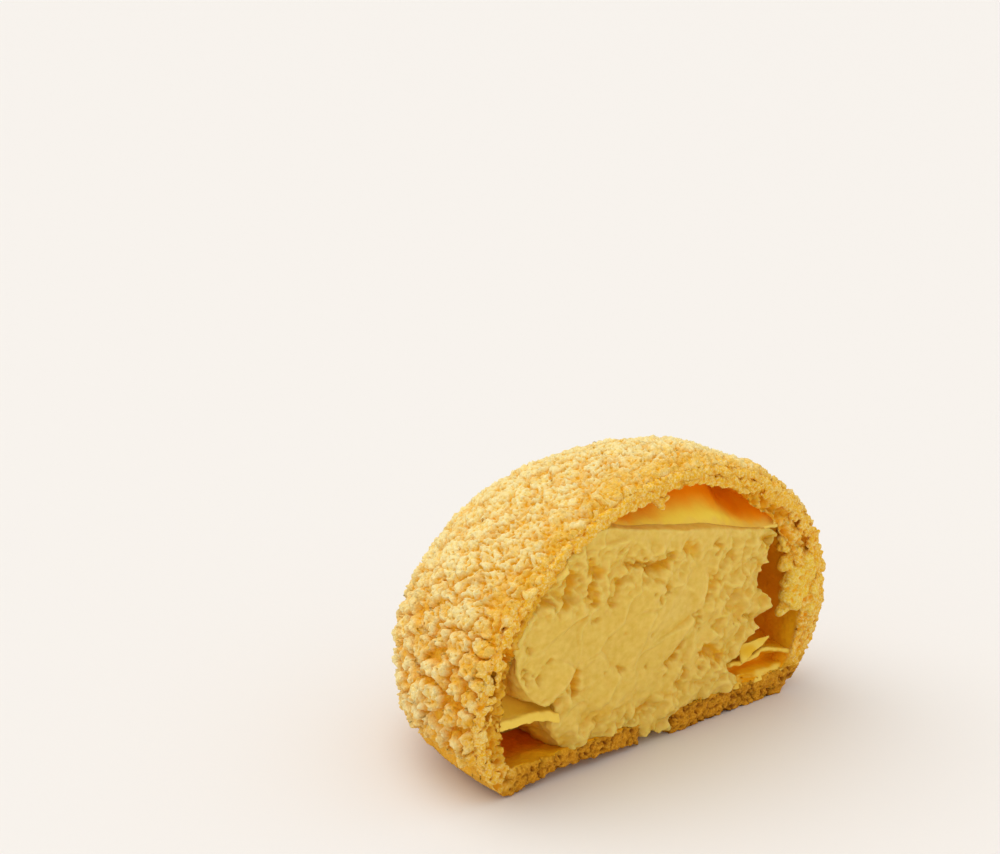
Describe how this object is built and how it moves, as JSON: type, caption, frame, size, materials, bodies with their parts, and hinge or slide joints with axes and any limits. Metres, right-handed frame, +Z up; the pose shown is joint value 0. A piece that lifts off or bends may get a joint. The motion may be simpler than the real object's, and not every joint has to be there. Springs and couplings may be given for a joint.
{
  "type": "craquelin cream puff half",
  "caption": "Half of a round choux bun with a cracked craquelin crust, cut through to show a thick vanilla custard filling, thin inner skins and air pockets.",
  "frame": {"origin": "centre of the bun's flat base, on its centre line, on the surface it stands on", "axes": "+X along the cut face, to the right seen from in front of it; -Y out of the cut face; +Z up"},
  "size_m": [0.0804, 0.0495, 0.0503],
  "materials": {
    "choux": "baked choux, golden brown with a porous crumb at the cut",
    "craquelin": "dry cracked sugar crust, sandy and rough",
    "custard": "smooth vanilla custard cream, softly moist"
  },
  "bodies": {
    "root": {"choux_shell": "choux", "craquelin_topping": "craquelin", "custard_cream": "custard"}
  },
  "joints": []
}
